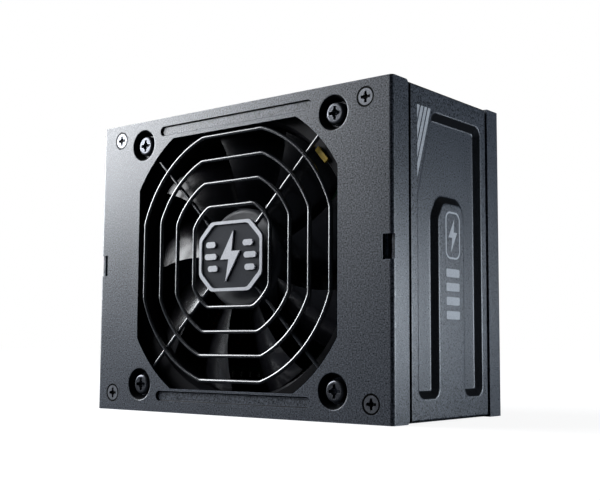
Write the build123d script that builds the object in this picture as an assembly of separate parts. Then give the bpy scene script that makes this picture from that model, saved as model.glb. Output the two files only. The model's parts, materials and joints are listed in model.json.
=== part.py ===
from build123d import *
import math
import os

# A small modular power supply in the SFX box. Millimetres, +Z up, origin in the middle of the
# base. The fan cover faces -Y, the mains side is on top and the output sockets are underneath.

# Box of the whole unit
WIDTH = 125.0
DEPTH = 63.5
HEIGHT = 100.0
SHEET = 1.0
BEND_R = 1.2
SIDE = WIDTH / 2
FRONT = -DEPTH / 2
BACK = DEPTH / 2
GAP = 0.05

# Fan cover: its opening, screw dimples, beads and side strips
FAN_Z = 50.3
OPENING_Z = 50.15
OPENING_HALF_X = 43.0
OPENING_HALF_Z = 42.35
OPENING_R = 50.0
DIMPLE_X = 41.3
DIMPLE_PITCH_Z = 82.6
DIMPLE_R = 5.3
DIMPLE_FLOOR_R = 4.0
DIMPLE_DEPTH = 3.0
FAN_HEAD_R = 3.4
BEAD_Z = (95.4, 5.4)
BEAD_LENGTH = 66.2
BEAD_WIDTH = 3.35
BEAD_DEPTH = 0.75
STRIP_BACK = -23.45
COVER_SCREWS = ((53.0, 94.7), (54.9, 5.75))
COVER_HEAD_R = 3.0
COVER_SHANK_R = 1.4

# Side walls: the inner wall of the tray, the embossed panel and the tray's own outer strip
WALL_OUT = 60.0
PANEL_OUT = 62.4
PANEL_FRONT = -22.4
PANEL_BACK = 23.06
PANEL_INSET_Z = 0.4
PANEL_SHEET = 0.8
RECESS_DEPTH = 1.7
RECESS_SLOPE = 2.4
RECESS_CORNER_R = 3.2
PRESS_R = 1.0
TRAY_STRIP = 24.0

# Wire guard: half size of each ring and the radius of its rounded corners
RINGS = ((16.4, 19.1), (24.3, 27.0), (32.0, 34.6), (40.0, 42.0))
GUARD_Z = 50.85
WIRE_R = 0.65
RING_BEND_R = 3.4
RING_Y = FRONT + WIRE_R
SPOKE_Y = FRONT + SHEET + WIRE_R
SPOKE_END_R = 51.8

# Fan, 92 mm square and 15 mm deep
FAN_SIZE = 92.0
FAN_FRONT = -27.7
FAN_BACK = -12.7
BORE_R = 44.2
HUB_R = 16.4
HUB_WALL = 2.0
HUB_FRONT = -26.4
BLADES = 9
BLADE_TIP_R = 43.5
SHAFT_R = 1.5
RUNNING_GAP = 0.04
FAN = Plane(origin=(0, 0, FAN_Z), x_dir=(1, 0, 0), z_dir=(0, -1, 0))

# Mains side: four tapped holes, inlet, switch and air holes
CASE_HOLE_X = 56.5
CASE_HOLE_Y = 25.75
CASE_HOLE_R = 1.75
INLET_X = -32.0
INLET_EAR_PITCH = 40.0
INLET_PINS = ((-7.0, -2.0), (0.0, 2.0), (7.0, -2.0))
SWITCH_X = 2.5
SWITCH_PIVOT_Z = 98.2
ROCKER_TILT = 10.0
ROCKER_R = 8.6

# Main board, which faces the fan, and the socket board above the base
BOARD_FRONT = 24.4
BOARD_SHEET = 1.6
BOARD_X = 56.0
BOARD_Z = (16.0, 95.0)
STANDOFFS = ((-52.0, 21.0), (52.0, 21.0), (-52.0, 91.0), (52.0, 91.0))
# middle x and z, outer and inner radius, height with its winding
EMI_CHOKE = (-40.8, 84.0, 8.4, 4.6, 10.0)
PFC_CHOKE = (-40.0, 29.5, 9.8, 5.2, 17.0)
OUTPUT_CHOKE = (44.0, 62.0, 8.6, 4.6, 12.0)
SOCKET_BOARD_Z = 13.4
SOCKET_PITCH = 4.2
SOCKET_FACE_Z = 0.3
SOCKET_DEPTH = 11.0
# name, middle x, middle y, columns of contacts (each socket has two rows)
SOCKETS = (
    ("socket_board_main", -31.0, 17.0, 9),
    ("socket_board_aux", 5.5, 17.0, 5),
    ("socket_power_1", 31.5, 17.0, 4),
    ("socket_power_2", -44.0, 1.0, 4),
    ("socket_power_3", -20.0, 1.0, 4),
    ("socket_power_4", 4.0, 1.0, 4),
    ("socket_drive_1", 25.5, 1.0, 3),
    ("socket_drive_2", 45.0, 1.0, 3),
)


def block(low, high):
    """Box between two opposite corners."""
    size = [b - a for a, b in zip(low, high)]
    middle = [(a + b) / 2 for a, b in zip(low, high)]
    return Pos(*middle) * Box(*size)


def rod_y(radius, x, z, low, high):
    """Cylinder along Y."""
    return Pos(x, (low + high) / 2, z) * Rot(90, 0, 0) * Cylinder(radius, high - low)


def rod_z(radius, x, y, low, high):
    """Cylinder along Z."""
    return Pos(x, y, (low + high) / 2) * Cylinder(radius, high - low)


def cone_y(front_r, back_r, x, z, front, back):
    """Cone along Y with its own radius at each end."""
    return Pos(x, (front + back) / 2, z) * Rot(90, 0, 0) * Cone(back_r, front_r, back - front)


def ring_y(outer_r, inner_r, x, z, low, high):
    """Plain ring about an axis along Y."""
    return rod_y(outer_r, x, z, low, high) - rod_y(inner_r, x, z, low - 1, high + 1)


def plate_y(outline, front, back):
    """Flat outline, drawn in x and z, with its thickness along Y."""
    plane = Plane(origin=(0, back, 0), x_dir=(1, 0, 0), z_dir=(0, -1, 0))
    return extrude(plane * outline, back - front)


def plate_z(outline, low, high):
    """Flat outline, drawn in x and y, with its thickness along Z."""
    return extrude(Pos(0, 0, low) * outline, high - low)


def fused(solids):
    """One shape from a list."""
    whole = solids[0]
    for solid in solids[1:]:
        whole = whole + solid
    return whole


def group(solids):
    """Separate solids kept together as one node."""
    return Compound(children=[piece for solid in solids for piece in solid.solids()])


def four_corners(x, z_low, z_high):
    """Corner positions (x, z) of a pattern that is the same on both sides."""
    return [(sign * x, z) for sign in (-1, 1) for z in (z_low, z_high)]


def dimple_places():
    """Fan screw positions on the fan cover and the fan."""
    half = DIMPLE_PITCH_Z / 2
    return four_corners(DIMPLE_X, FAN_Z - half, FAN_Z + half)


def cover_screw_places():
    """Positions of the four countersunk screws."""
    return [(sign * x, z) for x, z in COVER_SCREWS for sign in (-1, 1)]


def cross_recess(x, z, front, length, depth):
    """Cross slot of a screw head that faces -Y, deeper in the middle like a driver tip."""
    arm = length * 0.26
    cut = block((-length / 2, front - 1, -arm / 2), (length / 2, front + depth, arm / 2))
    cut += block((-arm / 2, front - 1, -length / 2), (arm / 2, front + depth, length / 2))
    cut += cone_y(length * 0.3, length * 0.1, 0, 0, front - GAP, front + depth * 1.2)
    return Pos(x, 0, z) * cut


# ---------------------------------------------------------------- sheet metal


def opening_outline():
    """Fan opening: a square whose corners are cut by a circle about the fan."""
    square = Pos(0, OPENING_Z) * Rectangle(2 * OPENING_HALF_X, 2 * OPENING_HALF_Z)
    outline = square & (Pos(0, FAN_Z) * Circle(OPENING_R))
    return fillet(outline.vertices(), 1.6)


def fan_cover():
    """Front plate with its side strips bent back, pressed beads and screw dimples."""
    inner = FRONT + SHEET
    shell = block((-SIDE, FRONT, 0), (SIDE, STRIP_BACK, HEIGHT))
    bends = shell.edges().filter_by(Axis.Z).group_by(Axis.Y)[0]
    shell = fillet(bends, BEND_R)
    corners = shell.edges().filter_by(Axis.X).group_by(Axis.Y)[-1]
    shell = fillet(corners, BEND_R)
    shell -= block((-SIDE + SHEET, inner, -1), (SIDE - SHEET, 0, HEIGHT + 1))
    for z in BEAD_Z:
        pad = SlotOverall(BEAD_LENGTH + SHEET, BEAD_WIDTH + SHEET)
        shell += plate_y(Pos(0, z) * pad, inner, inner + BEAD_DEPTH)
    for x, z in dimple_places():
        shell += cone_y(DIMPLE_R + 0.5, DIMPLE_FLOOR_R + 0.8, x, z, inner - 0.2, inner + DIMPLE_DEPTH)
    for z in BEAD_Z:
        plane = Plane(origin=(0, FRONT, z), x_dir=(1, 0, 0), z_dir=(0, 1, 0))
        shell -= extrude(plane * SlotOverall(BEAD_LENGTH, BEAD_WIDTH), BEAD_DEPTH, taper=25)
    for x, z in dimple_places():
        shell -= cone_y(DIMPLE_R, DIMPLE_FLOOR_R, x, z, FRONT, FRONT + DIMPLE_DEPTH)
        shell -= rod_y(2.3, x, z, FRONT, inner + DIMPLE_DEPTH + 1)
    for x, z in cover_screw_places():
        shell -= cone_y(COVER_HEAD_R + 0.15, COVER_SHANK_R + 0.3, x, z, FRONT, inner)
    shell -= plate_y(opening_outline(), FRONT - 1, inner + 1)
    rims = [edge for edge in shell.edges().filter_by(GeomType.CIRCLE)
            if abs(edge.radius - DIMPLE_R) < 0.01 and abs(edge.center().Y - FRONT) < 0.01]
    shell = fillet(rims, 0.5)
    notch_x = 59.0
    for sign in (-1, 1):
        near, far = sorted((sign * notch_x, sign * (SIDE + 1)))
        shell -= block((near, FRONT - 1, 46.7), (far, inner + 0.1, 54.0))
    return shell


def honeycomb():
    """Hexagonal air holes of the mains side, drawn in x and y."""
    pitch = 5.6
    hole_r = 2.75
    row_step = pitch * math.sin(math.radians(60))
    holes = Sketch()
    for row in range(-4, 5):
        shift = pitch / 2 if row % 2 else 0
        for column in range(7):
            place = Pos(17.0 + shift + column * pitch, row * row_step)
            holes += place * RegularPolygon(hole_r, 6, rotation=30)
    return holes


def inlet_outline(width, height, cut):
    """Mains inlet shape: a rectangle with its two upper corners cut off."""
    w, h = width / 2, height / 2
    return Pos(INLET_X, 0) * Polygon(
        (-w, -h), (w, -h), (w, h - cut), (w - cut, h), (-w + cut, h), (-w, h - cut), align=None
    )


def end_plate(low, high):
    """Top or bottom plate of the tray, stepped round the side panels."""
    front = FRONT + SHEET + GAP
    strip = SIDE - SHEET - 0.2
    plate = block((-WALL_OUT, front, low), (WALL_OUT, BACK, high))
    plate += block((-strip, front, low), (strip, STRIP_BACK - GAP, high))
    plate += block((-SIDE, TRAY_STRIP, low), (SIDE, BACK, high))
    return plate


def chassis_tray():
    """Welded steel box: back plate, stepped side walls, mains plate and socket plate."""
    inner = WALL_OUT - SHEET
    front = FRONT + SHEET + GAP
    tray = block((-SIDE, BACK - SHEET, 0), (SIDE, BACK, HEIGHT))
    for sign in (-1, 1):
        for x_a, x_b, y_a, y_b in (
            (inner, WALL_OUT, front, TRAY_STRIP + SHEET),
            (inner, SIDE, TRAY_STRIP, TRAY_STRIP + SHEET),
            (SIDE - SHEET, SIDE, TRAY_STRIP, BACK),
        ):
            near, far = sorted((sign * x_a, sign * x_b))
            tray += block((near, y_a, 0), (far, y_b, HEIGHT))
    tray += end_plate(0, SHEET)
    tray += end_plate(HEIGHT - SHEET, HEIGHT)
    rear_bends = tray.edges().filter_by(Axis.Z).group_by(Axis.Y)[-1]
    tray = fillet(rear_bends, BEND_R)
    tab_half = 4.5
    for x, z in cover_screw_places():
        low_x = max(x - tab_half, -inner)
        high_x = min(x + tab_half, inner)
        low_z = SHEET if z < FAN_Z else z - tab_half
        high_z = z + tab_half if z < FAN_Z else HEIGHT - SHEET
        tray += block((low_x, front, low_z), (high_x, front + SHEET, high_z))
        tray -= rod_y(COVER_SHANK_R + GAP, x, z, front - 1, front + SHEET + 1)
    for x, y in four_corners(CASE_HOLE_X, -CASE_HOLE_Y, CASE_HOLE_Y):
        tray += rod_z(CASE_HOLE_R + 0.9, x, y, HEIGHT - 2.2, HEIGHT - SHEET)
    for x, y in four_corners(CASE_HOLE_X, -CASE_HOLE_Y, CASE_HOLE_Y):
        tray -= rod_z(CASE_HOLE_R, x, y, HEIGHT - 4, HEIGHT + 1)
    cuts = honeycomb() + inlet_outline(27.4, 19.8, 4.6)
    cuts += Pos(SWITCH_X, 0) * Rectangle(13.1, 19.3)
    tray -= plate_z(cuts, HEIGHT - SHEET - 0.5, HEIGHT + 1)
    for side in (-1, 1):
        x = INLET_X + side * INLET_EAR_PITCH / 2
        tray -= Pos(x, 0, HEIGHT - SHEET / 2) * Cone(1.6, 2.75, SHEET)
    for _, x, y, columns in SOCKETS:
        width = columns * SOCKET_PITCH + 1.4
        tray -= block((x - width / 2, y - 5.0, -1), (x + width / 2, y + 5.0, SHEET + 0.5))
    return tray


def recess_outline():
    """Pressed-in area of a side panel, drawn in y and z: a U round a raised tongue."""
    front, back = -18.4, 19.4
    tongue_front, tongue_back = -6.7, 8.1
    low, high = 6.8, 93.0
    tongue_top = 65.7
    outline = Polygon(
        (front, low), (tongue_front, low), (tongue_front, 61.0), (-3.8, tongue_top),
        (tongue_back, tongue_top), (tongue_back, low), (back, low), (back, high),
        (-9.9, high), (front, 67.0), align=None,
    )
    return fillet(outline.vertices(), RECESS_CORNER_R)


def side_panel():
    """Embossed panel of the +X side, with its edges folded in to the tray's wall."""
    low_z = PANEL_INSET_Z
    high_z = HEIGHT - PANEL_INSET_Z
    skin = PANEL_OUT - PANEL_SHEET
    panel = block((WALL_OUT, PANEL_FRONT, low_z), (PANEL_OUT, PANEL_BACK, high_z))
    panel = fillet(panel.faces().sort_by(Axis.X)[-1].edges(), 0.7)
    t = PANEL_SHEET
    hollow = block((WALL_OUT, PANEL_FRONT + t, low_z + t), (skin, PANEL_BACK - t, high_z - t))
    inside = Plane(origin=(WALL_OUT, 0, 0), x_dir=(0, 1, 0), z_dir=(1, 0, 0))
    floor = extrude(inside * offset(recess_outline(), 0.7), skin - WALL_OUT)
    panel -= hollow - floor
    surface = Plane(origin=(PANEL_OUT, 0, 0), x_dir=(0, 1, 0), z_dir=(1, 0, 0))
    slope = math.degrees(math.atan2(RECESS_SLOPE, RECESS_DEPTH))
    panel -= extrude(surface * recess_outline(), -RECESS_DEPTH, taper=slope)
    for level in (PANEL_OUT, PANEL_OUT - RECESS_DEPTH):
        panel = fillet(level_edges(panel, level), PRESS_R)
    return panel


def level_edges(panel, level):
    """Edges of the pressed area that lie flat at one depth of the panel."""
    return [edge for edge in panel.edges()
            if abs(edge.center().X - level) < 0.01 and edge.bounding_box().size.X < 0.01
            and PANEL_FRONT + 2 < edge.center().Y < PANEL_BACK - 2
            and 5 < edge.center().Z < HEIGHT - 5]


# ---------------------------------------------------------------- guard and badge


def guard_ring(half, corner_r):
    """One bent wire ring: a square with corners on a circle."""
    outline = Rectangle(2 * half, 2 * half) & Circle(corner_r)
    outline = fillet(outline.vertices(), RING_BEND_R)
    plane = Plane(origin=(0, RING_Y, GUARD_Z), x_dir=(1, 0, 0), z_dir=(0, -1, 0))
    path = (plane * outline).faces()[0].outer_wire()
    start = Plane(origin=path @ 0, z_dir=path % 0)
    return sweep(start * Circle(WIRE_R), path=path)


def fan_guard():
    """Four rings welded on two crossed wires, whose ends are welded behind the cover."""
    wires = [guard_ring(half, corner_r) for half, corner_r in RINGS]
    for angle in (45, -45):
        spoke = Rot(0, 90, 0) * Cylinder(WIRE_R, 2 * SPOKE_END_R)
        wires.append(Pos(0, SPOKE_Y, GUARD_Z) * Rot(0, angle, 0) * spoke)
    return fused(wires)


def badge_outline(grow):
    """Wide rounded octagon of the badge."""
    half_x = 13.6 + grow
    half_z = 11.3 + grow
    cut = 5.2
    outline = Polygon(
        (-half_x, -half_z + cut), (-half_x + cut, -half_z), (half_x - cut, -half_z),
        (half_x, -half_z + cut), (half_x, half_z - cut), (half_x - cut, half_z),
        (-half_x + cut, half_z), (-half_x, half_z - cut), align=None,
    )
    return Pos(0, GUARD_Z) * fillet(outline.vertices(), 2.6)


def guard_badge():
    """Badge plate in front of the spokes, with four clips that grip them."""
    badge = plate_y(badge_outline(0), FRONT + 0.5, FRONT + SHEET)
    for angle in (45, 135, 225, 315):
        reach = 8.0
        x = reach * math.cos(math.radians(angle))
        z = reach * math.sin(math.radians(angle))
        clip = Box(4.0, 1.2, 0.8)
        jaws = [Pos(0, 0, side * (WIRE_R + 0.45)) * clip for side in (-1, 1)]
        for jaw in jaws:
            badge += Pos(x, FRONT + SHEET + 0.55, GUARD_Z + z) * Rot(0, -angle, 0) * jaw
    return badge


def badge_trim():
    """Bright raised rim, lightning bolt and bars on the badge."""
    top = FRONT
    base = FRONT + 0.5
    rim = plate_y(badge_outline(0) - badge_outline(-1.0), top, base)
    bolt = Polygon(
        (1.4, 8.2), (-4.2, -1.1), (-0.6, -1.1), (-1.8, -8.2), (4.2, 1.5), (0.7, 1.5), align=None
    )
    pieces = [rim, plate_y(Pos(0, GUARD_Z) * bolt, top, base)]
    for sign in (-1, 1):
        for row, length in ((3.9, 4.2), (0, 5.2), (-3.9, 4.2)):
            bar = SlotOverall(length, 1.9)
            place = Pos(sign * (5.9 + length / 2 - sign * row * 0.12), GUARD_Z + row)
            pieces.append(plate_y(place * bar, top, base))
    return group(pieces)


# ---------------------------------------------------------------- screws


def fan_screws():
    """Four pan head screws through the dimples into the fan frame."""
    seat = FRONT + DIMPLE_DEPTH
    head_front = FRONT + 0.7
    screws = []
    for x, z in dimple_places():
        head = rod_y(FAN_HEAD_R, x, z, head_front, seat)
        head = fillet(head.edges().group_by(Axis.Y)[0], 0.9)
        shank = rod_y(2.0, x, z, seat, FAN_BACK - 2.0)
        screws.append(head + shank - cross_recess(x, z, head_front, 4.3, 1.3))
    return group(screws)


def cover_screws():
    """Four countersunk screws that hold the fan cover to the tray's tabs."""
    screws = []
    for x, z in cover_screw_places():
        head = cone_y(COVER_HEAD_R, COVER_SHANK_R, x, z, FRONT + 0.05, FRONT + SHEET)
        shank = rod_y(COVER_SHANK_R, x, z, FRONT + SHEET, FRONT + 5.0)
        screws.append(head + shank - cross_recess(x, z, FRONT + 0.05, 3.4, 0.6))
    return group(screws)


# ---------------------------------------------------------------- fan


def fan_disc(radius, front, back):
    """Cylinder about the fan's axis, between two depths along Y."""
    return rod_y(radius, 0, FAN_Z, front, back)


def fan_ring(outer_r, inner_r, front, back):
    """Ring about the fan's axis, between two depths along Y."""
    return ring_y(outer_r, inner_r, 0, FAN_Z, front, back)


def fan_frame():
    """Square fan frame with its round duct, corner flanges, motor base and four struts."""
    flange = 3.4
    half = FAN_SIZE / 2
    square = Pos(0, FAN_Z) * RectangleRounded(FAN_SIZE, FAN_SIZE, 5.0)
    frame = plate_y(square, FAN_FRONT, FAN_FRONT + flange)
    frame += plate_y(square, FAN_BACK - flange, FAN_BACK)
    frame += fan_disc(half, FAN_FRONT, FAN_BACK)
    for x, z in dimple_places():
        frame += rod_y(3.9, x, z, FAN_FRONT, FAN_BACK)
    frame -= fan_disc(BORE_R, FAN_FRONT - 1, FAN_BACK + 1)
    frame -= cone_y(BORE_R + 1.4, BORE_R, 0, FAN_Z, FAN_FRONT, FAN_FRONT + 2.6)
    strut_front = FAN_BACK - 1.8
    for angle in (45, 135, 225, 315):
        strut = block((10, strut_front, -1.6), (BORE_R + 0.6, FAN_BACK, 1.6))
        frame += Pos(0, 0, FAN_Z) * Rot(0, -angle - 12, 0) * strut
    frame += fan_disc(HUB_R + 0.3, strut_front, FAN_BACK)
    frame += fan_disc(5.2, -23.2, FAN_BACK)
    frame -= fan_disc(4.1, -30, FAN_BACK - 0.8)
    for x, z in dimple_places():
        frame -= rod_y(2.15, x, z, FAN_FRONT - 1, FAN_BACK + 1)
    return frame


def blade_section(radius, angle, chord, rise):
    """Curved section of a blade, on a plane across the radius."""
    turn = math.radians(angle)
    centre = (radius * math.cos(turn), radius * math.sin(turn), 21.4)
    across = (-math.sin(turn), math.cos(turn), 0)
    out = (math.cos(turn), math.sin(turn), 0)
    edge = 0.3
    middle = 0.6
    camber = 0.09 * chord
    low, high = (-chord / 2, -rise / 2), (chord / 2, rise / 2)
    upper = ThreePointArc((low[0], low[1] + edge), (0, camber + middle), (high[0], high[1] + edge))
    nose = Line((high[0], high[1] + edge), (high[0], high[1] - edge))
    lower = ThreePointArc((high[0], high[1] - edge), (0, camber - middle), (low[0], low[1] - edge))
    tail = Line((low[0], low[1] - edge), (low[0], low[1] + edge))
    face = make_face([upper, nose, lower, tail])
    return Plane(origin=centre, x_dir=across, z_dir=out) * face


def fan_rotor():
    """Hub cup with nine swept blades, moulded in one piece."""
    hub = Pos(0, 0, 16.2) * Cylinder(HUB_R, -HUB_FRONT - 16.2, align=(Align.CENTER,) * 2 + (Align.MIN,))
    hub = fillet(hub.edges().group_by(Axis.Z)[-1], 1.6)
    cup = Cylinder(HUB_R - HUB_WALL, -HUB_FRONT - 1.4, align=(Align.CENTER,) * 2 + (Align.MIN,))
    boss = Pos(0, 0, 24.0) * Cylinder(3.2, 2.4)
    hub = hub - cup + boss - Pos(0, 0, 20) * Cylinder(SHAFT_R, 11.6)
    sections = [
        blade_section(12.0, -3.0, 9.0, 8.0),
        blade_section(24.0, 1.5, 13.5, 8.8),
        blade_section(35.0, 7.0, 18.5, 8.4),
        blade_section(46.0, 14.0, 22.0, 7.2),
    ]
    blade = loft(sections)
    blade = blade & Cylinder(BLADE_TIP_R, 80)
    blade -= Cylinder(HUB_R - 0.5, 80)
    first = 80.0
    rotor = hub
    for number in range(BLADES):
        rotor += Rot(0, 0, first + number * 360 / BLADES) * blade
    return FAN * rotor


def rotor_yoke():
    """Steel ring pressed into the hub."""
    return fan_ring(HUB_R - HUB_WALL, 13.6, -24.9, -16.5)


def rotor_magnet():
    """Ring magnet inside the yoke."""
    return fan_ring(13.6, 11.9, -24.4, -17.0)


def fan_shaft():
    """Steel shaft pressed into the hub's boss."""
    return fan_disc(SHAFT_R, -25.4, -14.2)


def bearing_sleeve():
    """Sintered sleeve in the frame's tube, running fit on the shaft."""
    return fan_ring(4.1, SHAFT_R + RUNNING_GAP, -22.8, -14.6)


def stator_core():
    """Laminated core with four poles."""
    low, high = -21.8, -18.6
    core = fan_ring(7.2, 5.25, low, high)
    rim = fan_ring(11.3, 10.1, low, high)
    for angle in (45, 135):
        arm = Pos(0, (low + high) / 2, FAN_Z) * Rot(0, angle, 0)
        gap = arm * Box(24, high - low + 1, 1.8)
        rim -= gap
    for angle in (0, 90):
        arm = Pos(0, (low + high) / 2, FAN_Z) * Rot(0, angle, 0)
        core += arm * Box(21.2, high - low, 2.4) - fan_disc(6.0, low - 1, high + 1)
    return core + rim


def stator_coils():
    """Copper winding round each pole."""
    low, high = -23.0, -17.4
    coils = []
    for number in range(4):
        coil = block((7.4, low, -3.1), (9.3, high, 3.1))
        coil = fillet(coil.edges().filter_by(Axis.X), 1.2)
        coil -= block((7.0, -21.8 - GAP, -1.25), (10.2, -18.6 + GAP, 1.25))
        coils.append(Pos(0, 0, FAN_Z) * Rot(0, 90 * number, 0) * coil)
    return group(coils)


def fan_board():
    """Round driver board under the stator."""
    return fan_ring(11.4, 5.3, -16.2, -15.4)


def fan_lead():
    """Two-core lead from the fan's back, held along a strut, down to the main board."""
    path = FilletPolyline(
        (13.0, FAN_BACK + 1.0, 63.0), (36.0, FAN_BACK + 1.0, 86.0), (44.0, -3.0, 87.5),
        (44.0, BOARD_FRONT, 87.5), radius=5.0,
    )
    start = Plane(origin=path @ 0, z_dir=path % 0)
    return sweep(start * Circle(0.9), path=path)


def corner_tape():
    """Folded strip of yellow tape on the front of the fan frame, by one corner."""
    turn = math.radians(40.8)
    x, z = 45.7 * math.cos(turn), FAN_Z + 45.7 * math.sin(turn)
    return Pos(x, FAN_FRONT - 0.55, z) * Rot(0, 90 - 40.8, 0) * Box(5.6, 1.0, 1.7)


# ---------------------------------------------------------------- mains side


def ac_inlet():
    """Three-pin mains inlet, screwed behind the mains plate."""
    under = HEIGHT - SHEET
    inlet = plate_z(inlet_outline(27.0, 19.4, 4.4), 79.0, HEIGHT)
    ears = Pos(INLET_X, 0) * RectangleRounded(47.5, 22.0, 4.0)
    inlet += plate_z(ears, under - 2.4, under)
    inlet -= plate_z(inlet_outline(24.4, 16.8, 3.8), 82.5, HEIGHT + 1)
    for side in (-1, 1):
        x = INLET_X + side * INLET_EAR_PITCH / 2
        inlet -= rod_z(1.45, x, 0, under - 3, HEIGHT)
    for dx, dy in INLET_PINS:
        inlet -= block((INLET_X + dx - 1, dy - 2, 78), (INLET_X + dx + 1, dy + 2, 83))
    return inlet


def inlet_pins():
    """Live, earth and neutral pins with their solder tabs."""
    pins = []
    for dx, dy in INLET_PINS:
        x = INLET_X + dx
        pin = block((x - 1, dy - 2, 79.0), (x + 1, dy + 2, 96.5))
        pin = chamfer(pin.faces().sort_by(Axis.Z)[-1].edges(), 0.6)
        pins.append(pin + block((x - 0.4, dy - 2, 72.5), (x + 0.4, dy + 2, 79.0)))
    return group(pins)


def inlet_screws():
    """Two countersunk screws of the inlet."""
    screws = []
    for side in (-1, 1):
        x = INLET_X + side * INLET_EAR_PITCH / 2
        head = Pos(x, 0, HEIGHT - SHEET / 2) * Cone(1.55, 2.7, SHEET)
        shank = rod_z(1.4, x, 0, HEIGHT - 6.0, HEIGHT - SHEET)
        slot = Box(3.2, 0.9, 1.2) + Box(0.9, 3.2, 1.2)
        screws.append(head + shank - Pos(x, 0, HEIGHT) * slot)
    return group(screws)


def switch_frame():
    """Snap-in switch housing with its bezel on the mains plate."""
    bezel = Pos(SWITCH_X, 0, HEIGHT + 0.9) * Box(15.2, 21.4, 1.8)
    bezel = fillet(bezel.faces().sort_by(Axis.Z)[-1].edges(), 0.7)
    body = block((SWITCH_X - 6.4, -9.5, 84.5), (SWITCH_X + 6.4, 9.5, HEIGHT + 0.2))
    well = block((SWITCH_X - 5.3, -ROCKER_R - 0.2, 90.0), (SWITCH_X + 5.3, ROCKER_R + 0.2, 104))
    hole = Pos(SWITCH_X, 0, SWITCH_PIVOT_Z) * Rot(0, 90, 0) * Cylinder(1.05, 12.4)
    frame = bezel + body - well - hole
    for side in (-1, 1):
        frame += block((SWITCH_X - 2.5, side * 9.5 - 0.6, 95.6), (SWITCH_X + 2.5, side * 9.5 + 0.6, 98.6))
    return frame


def switch_rocker():
    """Rocker at rest on its stop, on two moulded pivots."""
    width = 10.2
    lift = 4.55
    profile = Polygon((-9, -2.5), (9, -2.5), (9, lift), (0, 3.0), (-9, lift), align=None)
    across = Plane(origin=(-width / 2, 0, 0), x_dir=(0, 1, 0), z_dir=(1, 0, 0))
    rocker = extrude(across * profile, width)
    rocker = rocker & (Rot(0, 90, 0) * Cylinder(ROCKER_R, width + 2))
    rocker += Rot(0, 90, 0) * Cylinder(1.0, width + 1.8)
    return Pos(SWITCH_X, 0, SWITCH_PIVOT_Z) * Rot(ROCKER_TILT, 0, 0) * rocker


def switch_terminals():
    """Four flat blades under the switch."""
    blades = []
    for side_x in (-1, 1):
        for side_y in (-1, 1):
            x = SWITCH_X + side_x * 3.4
            y = side_y * 5.0
            blades.append(block((x - 0.4, y - 2.4, 77.5), (x + 0.4, y + 2.4, 84.5)))
    return group(blades)


def ac_wires():
    """Three wires from the inlet's tabs to the main board."""
    level = 69.4
    wires = []
    for dx, dy in INLET_PINS:
        x = INLET_X + dx
        path = FilletPolyline((x, dy, 72.5), (x, dy, level), (x, BOARD_FRONT, level), radius=2.6)
        start = Plane(origin=path @ 0, z_dir=path % 0)
        wires.append(sweep(start * Circle(1.0), path=path))
    return group(wires)


# ---------------------------------------------------------------- boards and what is on them


def main_board():
    """Main board on four standoffs in front of the back plate."""
    low, high = BOARD_Z
    board = block((-BOARD_X, BOARD_FRONT, low), (BOARD_X, BOARD_FRONT + BOARD_SHEET, high))
    board = fillet(board.edges().filter_by(Axis.Y), 2.0)
    for x, z in STANDOFFS:
        board -= rod_y(1.6, x, z, BOARD_FRONT - 1, BOARD_FRONT + BOARD_SHEET + 1)
    return board


def insulating_sheet():
    """Thin film between the main board and the back plate."""
    back = BACK - SHEET
    sheet = block((-58.0, back - 0.4, 14.0), (58.0, back, 97.0))
    for x, z in STANDOFFS:
        sheet -= rod_y(3.2, x, z, back - 1, back + 1)
    return sheet


def board_standoffs():
    """Four threaded pillars on the back plate."""
    front = BOARD_FRONT + BOARD_SHEET
    pillars = []
    for x, z in STANDOFFS:
        pillars.append(ring_y(2.7, 1.25, x, z, front, BACK - SHEET))
    return group(pillars)


def board_screws():
    """Four screws of the main board."""
    screws = []
    for x, z in STANDOFFS:
        head = rod_y(2.7, x, z, BOARD_FRONT - 1.9, BOARD_FRONT)
        head = fillet(head.edges().group_by(Axis.Y)[0], 0.7)
        shank = rod_y(1.2, x, z, BOARD_FRONT, BOARD_FRONT + 5.5)
        screws.append(head + shank - cross_recess(x, z, BOARD_FRONT - 1.9, 3.2, 0.9))
    return group(screws)


def toroid_core(x, z, outer_r, inner_r, height):
    """Ferrite ring that lies on the main board."""
    top = BOARD_FRONT - height
    core = ring_y(outer_r, inner_r, x, z, top + 1.4, BOARD_FRONT - 1.4)
    return fillet(core.edges().filter_by(GeomType.CIRCLE), 0.6)


def toroid_winding(x, z, outer_r, inner_r, height, turns, wire_r):
    """Separate turns of wire round a ring core, each a rounded loop."""
    top = BOARD_FRONT - height
    middle_r = (outer_r + inner_r) / 2
    half_x = (outer_r - inner_r) / 2 + wire_r + 0.15
    half_y = height / 2 - wire_r
    loops = []
    for number in range(turns):
        angle = (number + 0.5) * 360 / turns
        outline = RectangleRounded(2 * half_x, 2 * half_y, 1.0)
        path = outline.faces()[0].outer_wire()
        start = Plane(origin=path @ 0, z_dir=path % 0)
        loop = sweep(start * Circle(wire_r), path=path)
        place = Pos(x, (top + BOARD_FRONT) / 2, z) * Rot(0, angle, 0) * Pos(middle_r, 0, 0)
        loops.append(place * loop)
    return group(loops)


def bulk_capacitor():
    """Large can with its sleeve, crimped near the board."""
    x, z = -42.0, 54.0
    top = -8.0
    can = rod_y(12.5, x, z, top, BOARD_FRONT)
    can = fillet(can.edges().group_by(Axis.Y)[0], 1.0)
    groove = ring_y(14.0, 11.8, x, z, BOARD_FRONT - 3.2, BOARD_FRONT - 2.0)
    return can - groove


def x_capacitors():
    """Two box film capacitors of the mains filter."""
    boxes = []
    for z in (76.0, 88.0):
        box = block((-29.0, BOARD_FRONT - 12.0, z - 3.8), (-12.0, BOARD_FRONT, z + 3.8))
        boxes.append(fillet(box.edges(), 0.6))
    return group(boxes)


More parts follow.
